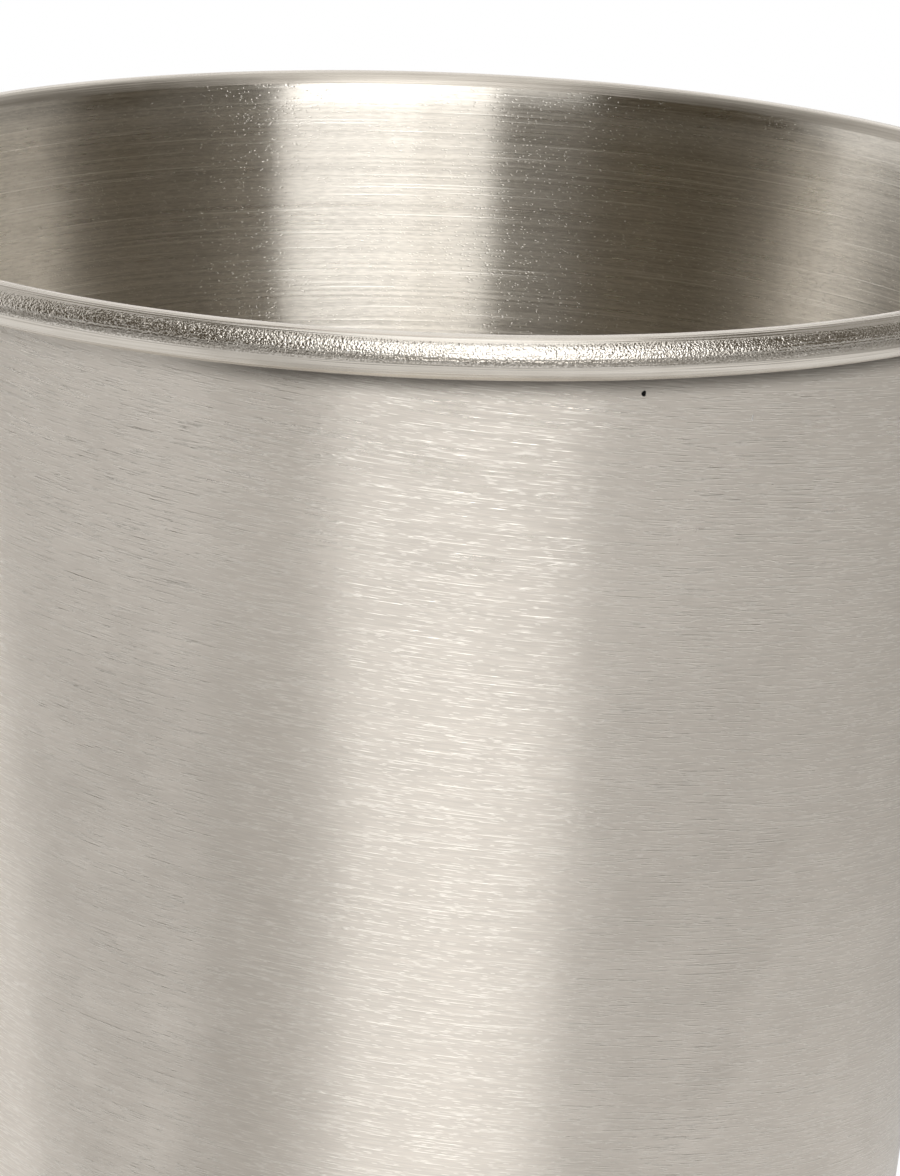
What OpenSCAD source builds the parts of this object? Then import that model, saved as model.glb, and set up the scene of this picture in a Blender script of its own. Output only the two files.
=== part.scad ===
// Julep cup: a tapered steel cup with a rolled rim, a set-in floor and a foot ring.
// Millimetres, +Z up. The origin is the middle of the face that the cup stands on.
// Every outline is drawn with the distance from the cup's axis as X and the height as Y.

/* [Cup] */
// Height of the whole cup, from the table to the top of the rim
cup_h = 108; // [96:1:122]
// Width across the rolled rim
rim_d = 88; // [82:1:100]
// Width of the wall at its lower edge
base_d = 63; // [56:1:70]
// Radius of the long inward curve of the wall's side
side_r = 900; // [600:50:3000]

/* [Sheet] */
// Thickness of the wall
wall_t = 0.8; // [0.6:0.05:1]
// Thickness of the floor pan
pan_t = 0.8; // [0.6:0.05:1.2]

/* [Rim] */
// Thickness of the rolled rim
bead_d = 2.8; // [2.6:0.1:3.6]
// Radius of the small flare that leads the wall into the roll
lip_r = 5; // [3:0.5:8]
// Lean of the wall where it enters the roll, in degrees
lip_lean = 28; // [20:1:40]
// Gap between the roll's free edge and the wall
lip_gap = 0.1; // [0.05:0.05:0.2]

/* [Floor] */
// Height of the floor's upper face over the table
floor_h = 6; // [5:0.5:10]
// Outer radius of the bend between the floor and its flange
bend_r = 1.6; // [1.3:0.1:2.4]
// Height to which the inner braze climbs the wall, over the floor
braze_climb = 0.9; // [0.5:0.1:1.5]

/* [Foot] */
// Thickness of the ledge that the wall and the floor's flange stand on
ledge_t = 1; // [0.8:0.1:1.5]
// Reach of the ledge inside the floor's flange
ledge_reach = 1.2; // [0.8:0.1:2]
// Thickness of the foot ring's band, outside the wall
band_t = 1.3; // [1:0.1:2]
// Height of the foot ring's plain band
band_h = 3.4; // [2.8:0.1:4]
// Thickness of the round moulding over the band
moulding_d = 2.4; // [2:0.1:2.8]
// Radius on the lower edges of the foot ring
foot_edge_r = 0.3; // [0.1:0.1:0.4]
// Leg of the braze between the flange and the ledge
braze_leg = 0.7; // [0.4:0.1:0.8]

/* [Hidden] */

// Clearance of the wire in the roll, and of the flange and the foot ring on the wall
wire_gap = 0.03;
fit_gap = 0.05;

// Length by which a cut runs past what it cuts
over = 1;

// Number of flats along the wall, round the roll, and round a quarter bend
side_steps = 24;
roll_steps = 30;
bend_steps = 9;
// Number of bend flats under the inner braze, counted from the top
braze_steps = 7;
// Number of sides of a full turn
turn_sides = 180;

steel = [0.73, 0.71, 0.68];
bright_steel = [0.78, 0.77, 0.75];
braze_metal = [0.80, 0.76, 0.66];

// Roll of the rim: its outer and inner radius, and its middle
bead_r = bead_d / 2;
hole_r = bead_r - wall_t;
roll_x = rim_d / 2 - bead_r;
roll_z = cup_h - bead_r;

// The wall follows two arcs that meet smoothly. The small flare turns round
// (lip_x, lip_z), and the long side turns round (side_x, side_z).
lip_offset = lip_r - hole_r;
lip_x = roll_x + lip_offset * cos(lip_lean);
lip_z = roll_z - lip_offset * sin(lip_lean);
base_r = base_d / 2;
chord_x = base_r - lip_x;
chord_z = ledge_t - lip_z;
chord = norm([chord_x, chord_z]);
long_reach = side_r - lip_r;
chord_share = (long_reach ^ 2 - side_r ^ 2 + chord ^ 2) / (2 * chord ^ 2);
bow = sqrt(long_reach ^ 2 - (chord_share * chord) ^ 2);
side_x = lip_x + chord_share * chord_x - bow * chord_z / chord;
side_z = lip_z + chord_share * chord_z + bow * chord_x / chord;

// Lean of the long side where the small flare takes over
side_lean = atan2(lip_z - side_z, side_x - lip_x);

// Distance of the wall's outer and inner face from the axis, at height z on the long side
function wall_out(z) = side_x - sqrt(side_r ^ 2 - (z - side_z) ^ 2);
function wall_in(z) = side_x - sqrt((side_r + wall_t) ^ 2 - (z - side_z) ^ 2);

// Points of an arc of radius r round [x, y], from angle a to angle b
function arc(x, y, r, a, b, steps) =
    [for (i = [0:steps])
        let (turn = a + (b - a) * i / steps)
        [x + r * cos(turn), y + r * sin(turn)]];

function reversed(points) = [for (i = [len(points) - 1:-1:0]) points[i]];

// One face of the wall, from its lower edge up into the small flare. A face is
// offset from the outer one by a depth into the sheet.
function wall_face(depth) =
    let (r = side_r + depth, low = 180 + asin((side_z - ledge_t) / r))
    concat(
        arc(side_x, side_z, r, low, 180 - side_lean, side_steps),
        arc(lip_x, lip_z, lip_r + depth, 180 - side_lean, 180 - lip_lean, bend_steps)
    );

// The roll's free edge stops beside the small flare's outer face. Its turn is
// counted from straight outward, down and back towards the wall.
edge_turn = lip_lean + acos(
    (bead_r ^ 2 + lip_offset ^ 2 - (lip_r - lip_gap) ^ 2) / (2 * bead_r * lip_offset)
);

// Flange of the floor pan: the distance of its outer face from the axis, at the
// ledge and at the bend
bend_z = floor_h - bend_r;
flange_low = wall_in(ledge_t) - fit_gap;
flange_high = wall_in(bend_z) - fit_gap;
bend_x = flange_high - bend_r;

// Distance of the flange's inner face from the axis, at height z
function flange_in(z) =
    flange_low - pan_t + (flange_high - flange_low) * (z - ledge_t) / (bend_z - ledge_t);

// Concave face of a braze, level at point a and upright at point b
function hollow_face(a, b) =
    [for (i = [0:bend_steps])
        let (turn = 90 * i / bend_steps)
        [a[0] + (b[0] - a[0]) * sin(turn), a[1] + (b[1] - a[1]) * (1 - cos(turn))]];

// Foot ring: the faces of its ledge and band, and the middle of its moulding
ledge_in = flange_in(ledge_t) - ledge_reach;
band_out = wall_out(ledge_t) + fit_gap + band_t;
moulding_r = moulding_d / 2;
moulding_x = band_out - moulding_r / 2;
moulding_z = band_h + moulding_r / 2;

module turned() {
    rotate_extrude($fn = turn_sides) children();
}

// Wall of sheet steel. It runs up from the ledge and rolls outward into the rim.
module cup_wall() {
    color(steel)
        turned()
            polygon(concat(
                wall_face(0),
                arc(roll_x, roll_z, hole_r, 180 - lip_lean, -edge_turn, roll_steps),
                arc(roll_x, roll_z, bead_r, -edge_turn, 180 - lip_lean, roll_steps),
                reversed(wall_face(wall_t))
            ));
}

// Wire that the rim is rolled round
module rim_wire() {
    color(bright_steel)
        turned()
            translate([roll_x, roll_z])
                circle(r = hole_r - wire_gap, $fn = turn_sides);
}

// Floor: a shallow pan set in upside down, its flange against the wall
module floor_pan() {
    color(steel)
        turned()
            polygon(concat(
                [[0, floor_h]],
                arc(bend_x, bend_z, bend_r, 90, 0, bend_steps),
                [[flange_low, ledge_t], [flange_in(ledge_t), ledge_t]],
                arc(bend_x, bend_z, bend_r - pan_t, 0, 90, bend_steps),
                [[0, floor_h - pan_t]]
            ));
}

// Section of the foot ring before the wall's seat is cut out of it
module foot_section() {
    polygon(concat(
        arc(ledge_in + foot_edge_r, foot_edge_r, foot_edge_r, 180, 270, bend_steps),
        arc(band_out - foot_edge_r, foot_edge_r, foot_edge_r, -90, 0, bend_steps),
        [
            [band_out, moulding_z],
            [wall_in(ledge_t), moulding_z],
            [wall_in(ledge_t), ledge_t],
            [ledge_in, ledge_t]
        ]
    ));
    translate([moulding_x, moulding_z]) circle(r = moulding_r, $fn = turn_sides);
}

// Foot ring: a ledge under the wall, a band round it and a round moulding on top
module foot_ring() {
    top_z = moulding_z + moulding_r + over;
    color(bright_steel)
        turned()
            difference() {
                foot_section();
                polygon([
                    [0, ledge_t],
                    [wall_out(ledge_t) + fit_gap, ledge_t],
                    [wall_out(top_z) + fit_gap, top_z],
                    [0, top_z]
                ]);
            }
}

// Braze that fills the groove between the floor's bend and the wall
module floor_braze() {
    climb_z = floor_h + braze_climb;
    bend_stop = 90 - 90 * braze_steps / bend_steps;
    stop_z = bend_z + bend_r * sin(bend_stop);
    color(braze_metal)
        turned()
            polygon(concat(
                reversed(hollow_face([bend_x, floor_h], [wall_in(climb_z), climb_z])),
                arc(bend_x, bend_z, bend_r, 90 - 90 / bend_steps, bend_stop, braze_steps - 1),
                [[wall_in(stop_z), stop_z]]
            ));
}

// Braze in the corner between the floor's flange and the ledge
module foot_braze() {
    leg_z = ledge_t + braze_leg;
    color(braze_metal)
        turned()
            polygon(concat(
                [[flange_in(ledge_t), ledge_t]],
                hollow_face([flange_in(ledge_t) - braze_leg, ledge_t], [flange_in(leg_z), leg_z])
            ));
}

cup_wall();
rim_wire();
floor_pan();
foot_ring();
floor_braze();
foot_braze();
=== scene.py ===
"""Julep cup of brushed stainless steel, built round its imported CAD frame.

Everything is in metres, in the CAD frame: +Z runs up the cup's axis, and the cup stands at z = 0.
The camera looks at the cup from -Y, so turns round the axis are counted from there, to the right.
"""

import logging
import math
from collections.abc import Callable, Sequence
from dataclasses import dataclass, field
from enum import Enum
from functools import reduce

import bpy
import numpy as np
from mathutils import Matrix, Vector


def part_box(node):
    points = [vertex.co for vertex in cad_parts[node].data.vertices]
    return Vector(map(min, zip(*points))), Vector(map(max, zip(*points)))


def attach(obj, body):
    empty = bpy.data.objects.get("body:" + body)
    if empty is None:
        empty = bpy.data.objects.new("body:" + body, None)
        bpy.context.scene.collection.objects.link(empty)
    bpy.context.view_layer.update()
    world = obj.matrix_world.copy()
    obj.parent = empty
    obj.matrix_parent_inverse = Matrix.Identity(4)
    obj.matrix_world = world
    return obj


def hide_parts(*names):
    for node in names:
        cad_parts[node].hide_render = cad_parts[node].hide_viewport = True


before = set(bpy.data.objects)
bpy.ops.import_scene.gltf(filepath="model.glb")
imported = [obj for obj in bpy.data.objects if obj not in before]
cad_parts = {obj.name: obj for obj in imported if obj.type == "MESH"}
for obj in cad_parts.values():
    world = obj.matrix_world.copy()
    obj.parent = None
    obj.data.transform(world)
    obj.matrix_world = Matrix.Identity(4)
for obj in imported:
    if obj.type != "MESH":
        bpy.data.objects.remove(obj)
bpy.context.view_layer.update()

log = logging.getLogger("julep_cup")

MM = 0.001
FULL_TURN = 2 * math.pi
QUARTER_TURN = math.pi / 2
ON_AXIS = 1e-9

Point = tuple[float, float]
Colour = tuple[float, float, float]
Socket = bpy.types.NodeSocket
Node = bpy.types.Node
Value = Socket | float | Sequence[float]
Inputs = dict[str | int, Value]


class Zone(Enum):
    """Which finish a stretch of an outline takes, by the piece's material slot."""

    OUTSIDE = 0
    RIM = 1
    STRAINED = 2
    INSIDE = 3


class Look(Enum):
    """How a small mark differs from the steel: its tint, its height and its own roughness."""

    PIT = ((0.02, 0.02, 0.02), -0.05 * MM, 0.7)
    NICK = ((0.92, 0.90, 0.87), 0.03 * MM, None)


@dataclass(frozen=True)
class CupSizes:
    """Sizes that the pieces share, with the lines and arcs that follow from them."""

    rim_r: float
    height: float
    floor_z: float
    foot_in: float = 28.65 * MM
    base_r: float = 31.5 * MM
    side_r: float = 900 * MM
    sheet: float = 0.8 * MM
    bead_r: float = 1.4 * MM
    lip_r: float = 5 * MM
    lip_lean: float = math.radians(28)
    lip_gap: float = 0.1 * MM
    bend_r: float = 1.6 * MM
    climb: float = 0.9 * MM
    ledge_z: float = 1 * MM
    band_t: float = 1.3 * MM
    moulding_r: float = 1.2 * MM
    band_z: float = 3.4 * MM
    foot_edge_r: float = 0.3 * MM
    braze_leg: float = 0.7 * MM
    wire_gap: float = 0.03 * MM
    fit_gap: float = 0.05 * MM

    @classmethod
    def from_frame(cls) -> "CupSizes":
        """Reads the outer sizes from the CAD nodes' boxes."""
        wall_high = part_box("cup_wall")[1]
        return cls(wall_high.x, wall_high.z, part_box("floor_pan")[1].z)

    @property
    def hole_r(self) -> float:
        """Inner radius of the rolled rim."""
        return self.bead_r - self.sheet

    @property
    def roll(self) -> Point:
        """Middle of the rolled rim's section."""
        return self.rim_r - self.bead_r, self.height - self.bead_r

    @property
    def lip(self) -> Point:
        """Point that the small flare under the roll turns round.

        Returns:
            Its distance from the axis and its height.
        """
        reach = self.lip_r - self.hole_r
        x, z = self.roll
        return x + reach * math.cos(self.lip_lean), z - reach * math.sin(self.lip_lean)

    @property
    def side(self) -> Point:
        """Point that the long curve of the side turns round.

        Returns:
            Its distance from the axis and its height.
        """
        lip_x, lip_z = self.lip
        run, rise = self.base_r - lip_x, self.ledge_z - lip_z
        chord = math.hypot(run, rise)
        reach = self.side_r - self.lip_r
        share = (reach**2 - self.side_r**2 + chord**2) / (2 * chord**2)
        bow = math.sqrt(reach**2 - (share * chord) ** 2)
        return (
            lip_x + share * run - bow * rise / chord,
            lip_z + share * rise + bow * run / chord,
        )

    @property
    def side_lean(self) -> float:
        """Lean of the long side where the small flare takes over, in radians."""
        return math.atan2(self.lip[1] - self.side[1], self.side[0] - self.lip[0])

    @property
    def edge_turn(self) -> float:
        """Turn at which the roll's free edge stops.

        Returns:
            An angle in radians, from straight out and downwards.
        """
        reach = self.lip_r - self.hole_r
        spread = self.bead_r**2 + reach**2 - (self.lip_r - self.lip_gap) ** 2
        return self.lip_lean + math.acos(spread / (2 * self.bead_r * reach))

    @property
    def bend(self) -> Point:
        """Middle of the bend between the floor and its flange."""
        z = self.floor_z - self.bend_r
        return self.flange_x(z) - self.bend_r, z

    def wall_x(self, z: float, depth: float = 0.0) -> float:
        """Distance from the axis to a face of the side, at height z and a depth in the sheet."""
        x, middle = self.side
        return x - math.sqrt((self.side_r + depth) ** 2 - (z - middle) ** 2)

    def flange_x(self, z: float, depth: float = 0.0) -> float:
        """Distance from the axis to a face of the floor's flange, at a height and a depth."""
        return self.wall_x(z, self.sheet) - self.fit_gap - depth


@dataclass
class Outline:
    """Section of a turned piece, as points (distance from the axis, height) and their zones."""

    points: list[Point] = field(default_factory=list)
    zones: list[Zone] = field(default_factory=list)

    def add(self, points: Sequence[Point], zone: Zone = Zone.OUTSIDE) -> "Outline":
        """Adds points in order.

        Args:
            points: The points.
            zone: Zone of the faces that start at these points.

        Returns:
            The outline itself, so that calls can follow each other.
        """
        self.points += list(points)
        self.zones += [zone] * len(points)
        return self


def radians(*degrees: float) -> tuple[float, ...]:
    """Angles in radians."""
    return tuple(math.radians(angle) for angle in degrees)


def swung(middle: Point, radius: float, turn: float) -> Point:
    """Point of a circle, at an angle from straight out."""
    return middle[0] + radius * math.cos(turn), middle[1] + radius * math.sin(turn)


def arc(middle: Point, radius: float, start: float, end: float, steps: int) -> list[Point]:
    """Points of an arc round a middle, from one angle to another, in a number of flats."""
    return [swung(middle, radius, turn) for turn in np.linspace(start, end, steps + 1)]


def eased(before: Point, corner: Point, after: Point, radius: float, steps: int = 4) -> list[Point]:
    """Points that round off a corner.

    Args:
        before: Point that the outline comes from.
        corner: The sharp corner.
        after: Point that the outline goes to.
        radius: Radius of the rounding.
        steps: Number of flats.

    Returns:
        The rounding's points in order.
    """
    p, c, n = (np.array(q, float) for q in (before, corner, after))
    a, b = (p - c) / np.linalg.norm(p - c), (n - c) / np.linalg.norm(n - c)
    half = math.acos(float(np.clip(a @ b, -1, 1))) / 2
    middle = c + (a + b) / np.linalg.norm(a + b) * radius / math.sin(half)
    start, end = (c + v * radius / math.tan(half) - middle for v in (a, b))
    first = math.atan2(start[1], start[0])
    swing = (math.atan2(end[1], end[0]) - first + math.pi) % FULL_TURN - math.pi
    return arc((middle[0], middle[1]), radius, first, first + swing, steps)


def hollow_face(level: Point, upright: Point, steps: int) -> list[Point]:
    """Points of a braze's hollow face.

    Args:
        level: The end at which it is level.
        upright: The end at which it is upright.
        steps: Number of flats.

    Returns:
        The points, from the level end.
    """
    run, rise = upright[0] - level[0], upright[1] - level[1]
    turns = np.linspace(0, QUARTER_TURN, steps + 1)
    return [(level[0] + run * math.sin(t), level[1] + rise * (1 - math.cos(t))) for t in turns]


def uneven(turn: float, share: Point, swings: Sequence[Sequence[float]]) -> float:
    """Share at a turn: a mean, and a factor times waves of a height, a number and a phase."""
    swing = sum(height * math.sin(rounds * turn + phase) for height, rounds, phase in swings)
    return share[0] + share[1] * swing


@dataclass(frozen=True)
class Waves:
    """Slight unevenness of hand-finished sheet, as smooth waves round and along a piece."""

    height: float
    seed: int
    rounds: tuple[int, int] = (3, 13)
    along: float = 30 * MM
    stretch: Point = (0.6, 2.5)
    count: int = 14

    def at(self, turns: np.ndarray, run: np.ndarray) -> np.ndarray:
        """Depth of the waves, between 0 and minus twice their height.

        Args:
            turns: Angles round the axis.
            run: Distances along the outline.

        Returns:
            An array with a row for each turn and a column for each distance.
        """
        rng = np.random.default_rng(self.seed)
        total = np.zeros((len(turns), len(run)))
        for _ in range(self.count):
            rounds = int(rng.integers(*self.rounds))
            pitch = self.along * rng.uniform(*self.stretch)
            phase, slide = rng.uniform(0, FULL_TURN, 2)
            ring = np.cos(rounds * turns + phase)[:, None]
            total += ring * np.cos(FULL_TURN * run / pitch + slide)[None, :]
        return self.height * (total / np.abs(total).max() - 1)


@dataclass
class Turning:
    """A piece made by turning an outline about the cup's axis."""

    name: str
    outline: Outline
    sectors: int
    closed: bool = True
    waves: Waves | None = None
    wander: Callable[[float], Sequence[Point]] | None = None

    @property
    def shape(self) -> np.ndarray:
        """The outline's points, a row for each."""
        return np.array(self.outline.points)

    @property
    def winding(self) -> float:
        """A number that is negative where the section was drawn clockwise."""
        x, z = self.shape.T
        return float(np.sum(x * np.roll(z, -1) - np.roll(x, -1) * z))

    def build(self) -> bpy.types.Object:
        """Makes the mesh, with a map of the surface, and links it into the scene.

        Returns:
            The new object, at the origin.
        """
        turns = np.linspace(0, FULL_TURN, self.sectors, endpoint=False)
        shape = self.shape
        sections = np.repeat(shape[None], self.sectors, 0)
        if self.wander:
            sections = np.array([self.wander(float(t)) for t in turns])
        closing = [shape[0]] if self.closed else []
        steps = np.hypot(*np.diff(np.vstack([shape, *closing]), axis=0).T)
        run = np.concatenate([[0], np.cumsum(steps)])
        if self.waves:
            depth = self.waves.at(turns, run[: len(shape)])
            sections = sections + self._outward()[None] * depth[..., None]
        return self._link(sections, turns, run)

    def _outward(self) -> np.ndarray:
        """Finds the directions out of the section.

        Returns:
            A unit vector for each point of the outline, or zero on the axis.
        """
        shape = self.shape
        if self.closed:
            along = np.roll(shape, -1, 0) - np.roll(shape, 1, 0)
        else:
            along = np.gradient(shape, axis=0)
        out = np.stack([along[:, 1], -along[:, 0]], 1) * np.sign(self.winding)
        out[shape[:, 0] < ON_AXIS] = 0
        return out / np.maximum(np.linalg.norm(out, axis=1), ON_AXIS * MM)[:, None]

    def _link(self, sections: np.ndarray, turns: np.ndarray, run: np.ndarray) -> bpy.types.Object:
        """Joins the sections into faces.

        Args:
            sections: Points of the outline at each turn.
            turns: Angles round the axis.
            run: Distance of each point along the outline, and the whole length at the end.

        Returns:
            The new object.
        """
        sectors, count = sections.shape[:2]
        places, index = [], np.zeros((sectors, count), int)
        for j in range(count):
            on_axis = sections[0, j, 0] < ON_AXIS
            index[:, j] = len(places) if on_axis else len(places) + np.arange(sectors)
            for i in range(1 if on_axis else sectors):
                radius, z = sections[i, j]
                places.append((radius * math.sin(turns[i]), -radius * math.cos(turns[i]), z))
        faces, slots, maps = [], [], []
        last = count if self.closed else count - 1
        for j in range(last):
            k = (j + 1) % count
            for i in range(sectors):
                m = (i + 1) % sectors
                corners = (
                    (index[i, j], i, j),
                    (index[m, j], i + 1, j),
                    (index[m, k], i + 1, j + 1),
                    (index[i, k], i, j + 1),
                )
                kept = [c for n, c in enumerate(corners) if c[0] != corners[n - 1][0]]
                if len(kept) < 3:
                    continue
                faces.append([int(c[0]) for c in kept])
                slots.append(self.outline.zones[j].value)
                maps += [(c[1] / sectors, run[c[2]] / run[last]) for c in kept]
        mesh = bpy.data.meshes.new(self.name)
        mesh.from_pydata(places, [], faces)
        mesh.polygons.foreach_set("material_index", slots)
        mesh.polygons.foreach_set("use_smooth", [True] * len(faces))
        layer = mesh.uv_layers.new(name="OFBake")
        layer.data.foreach_set("uv", np.array(maps, np.float32).ravel())
        if self.winding < 0:
            mesh.flip_normals()
        mesh.validate()
        made = bpy.data.objects.new(self.name, mesh)
        bpy.context.scene.collection.objects.link(made)
        return made


class Board:
    """A node tree, with short calls for the nodes that the finishes use."""

    def __init__(self, tree: bpy.types.NodeTree, output: str) -> None:
        """Empties a tree and gives it an output node.

        Args:
            tree: The node tree.
            output: Type of its output node.
        """
        self.tree = tree
        self.tree.nodes.clear()
        self.out = self.add(output)

    def add(self, kind: str, inputs: Inputs | None = None, **settings: object) -> Node:
        """Adds a node.

        Args:
            kind: Its type, less the word that all of them start with.
            inputs: What goes into its inputs, by their names or places.
            settings: Values for its properties.

        Returns:
            The node.
        """
        node = self.tree.nodes.new("ShaderNode" + kind)
        for key, value in settings.items():
            setattr(node, key, value)
        self.fill(node, inputs or {})
        return node

    def fill(self, node: Node, inputs: Inputs) -> None:
        """Links a node's inputs, or sets them to plain numbers and solid colours.

        Args:
            node: The node.
            inputs: What goes into its inputs, by their names or places.
        """
        for key, value in inputs.items():
            target = node.inputs[key]
            if isinstance(value, Socket):
                self.tree.links.new(value, target)
            else:
                target.default_value = (*value, 1.0) if target.type == "RGBA" else value

    def maths(self, operation: str, *values: Value, clamp: bool = False) -> Socket:
        """Result of a Math node, which clamp keeps between 0 and 1."""
        inputs = dict(enumerate(values))
        return self.add("Math", inputs, operation=operation, use_clamp=clamp).outputs[0]

    def product(self, *values: Value) -> Socket:
        """Product of two or more values."""
        return reduce(lambda first, other: self.maths("MULTIPLY", first, other), values)

    def sum_up(self, terms: Sequence[tuple[Socket, float]], start: float = 0.0) -> Socket:
        """Sum of a number and of sockets that are each times their own factor."""
        return reduce(lambda total, term: self.maths("MULTIPLY_ADD", *term, total), terms, start)

    def centred(self, value: Socket) -> Socket:
        """A value less a half, so that noise lies round zero."""
        return self.maths("SUBTRACT", value, 0.5)

    def held(self, value: Socket) -> Socket:
        """A value kept between 0 and 1."""
        return self.maths("ADD", value, 0.0, clamp=True)

    def spread(
        self, value: Socket, ends: Point, to: Point = (0.0, 1.0), smooth: bool = True
    ) -> Socket:
        """Spreads the values between two ends over others, and stops there, eased if smooth."""
        settings = {"interpolation_type": "SMOOTHSTEP" if smooth else "LINEAR"}
        return self.add("MapRange", dict(enumerate((value, *ends, *to))), **settings).outputs[0]

    def window(self, value: Socket, edges: Sequence[float]) -> Socket:
        """Eases into a stretch of values and out of it: its start, its full part and its end."""
        start, full, still, end = edges
        return self.product(self.spread(value, (start, full)), self.spread(value, (end, still)))

    def join(self, x: Value, y: Value, z: Value) -> Socket:
        """A vector from three values."""
        return self.add("CombineXYZ", {0: x, 1: y, 2: z}).outputs[0]

    def split(self, place: Socket) -> list[Socket]:
        """The three values of a vector."""
        return list(self.add("SeparateXYZ", {0: place}).outputs)

    def noise(self, place: Socket, scale: float, detail: float = 0.0, rough: float = 0.5) -> Socket:
        """Smooth noise round a half, with finer layers of a strength on the first."""
        inputs = {"Vector": place, "Scale": scale, "Detail": detail, "Roughness": rough}
        return self.add("TexNoise", inputs, noise_dimensions="3D").outputs[0]

    def dice(self, x: Value, y: Value, z: Value) -> list[Socket]:
        """Three random values for a place that is given by whole numbers."""
        node = self.add("TexWhiteNoise", {"Vector": self.join(x, y, z)}, noise_dimensions="3D")
        return list(self.add("SeparateColor", {0: node.outputs["Color"]}).outputs)[:3]

    def blend(self, share: Value, a: Value, b: Value) -> Socket:
        """A number between a, at share 0, and b, at share 1."""
        return self.add("Mix", {0: share, 2: a, 3: b}, data_type="FLOAT").outputs[0]

    def tint(self, share: Value, a: Value, b: Value) -> Socket:
        """A colour between a, at share 0, and b, at share 1."""
        return self.add("Mix", {0: share, 6: a, 7: b}, data_type="RGBA").outputs[2]

    def bump(self, height: Socket, depth: float = 1.0, under: Socket | None = None) -> Socket:
        """Normal of a relief of that depth, which may lie on the normal of a coarser one."""
        inputs = {"Strength": 1.0, "Distance": depth, "Height": height}
        return self.add("Bump", inputs | ({"Normal": under} if under else {})).outputs[0]

    def seen(self) -> tuple[Socket, Socket]:
        """Tells what looks at a surface or at the room.

        Returns:
            A socket that is 1 for the camera, and one that is 1 for the camera, metal and glass.
        """
        path = self.add("LightPath").outputs
        camera = path["Is Camera Ray"]
        mirrored = self.maths("MAXIMUM", path["Is Glossy Ray"], path["Is Transmission Ray"])
        return camera, self.maths("MAXIMUM", camera, mirrored)

    def show(self, share: Socket, under: Socket, over: Socket) -> None:
        """Puts a mix of two shaders on the output."""
        mixed = self.add("MixShader", {0: share, 1: under, 2: over}).outputs[0]
        self.fill(self.out, {"Surface": mixed})


class Paint(Board):
    """A material's board, with a Principled shader on its output."""

    def __init__(self, name: str) -> None:
        """Starts a new material.

        Args:
            name: The material's name.
        """
        self.material = bpy.data.materials.new(name)
        self.material.use_nodes = True
        super().__init__(self.material.node_tree, "OutputMaterial")
        self.shader = self.add("BsdfPrincipled")
        self.fill(self.out, {"Surface": self.shader.outputs[0]})

    def ring_tangent(self) -> Socket:
        """Direction round the cup's axis, which the brushing follows."""
        return self.add("Tangent", direction_type="RADIAL", axis="Z").outputs[0]

    def metal(self, colour: Socket, rough: Socket, normal: Socket) -> bpy.types.Material:
        """Makes the shader plain metal.

        Args:
            colour: Its colour.
            rough: Its roughness.
            normal: The normal of its relief.

        Returns:
            The material.
        """
        look = {"Metallic": 1.0, "Base Color": colour, "Roughness": rough, "Normal": normal}
        self.fill(self.shader, look)
        return self.material

    def brush(self, anisotropy: float, tangent: Socket, pitch_deg: float = 0.0) -> None:
        """Stretches the highlights across brushing that runs round the axis and may climb."""
        look = {"Anisotropic Rotation": (0.25 + pitch_deg / 360) % 1.0, "Tangent": tangent}
        self.fill(self.shader, {"Anisotropic": anisotropy} | look)


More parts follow.
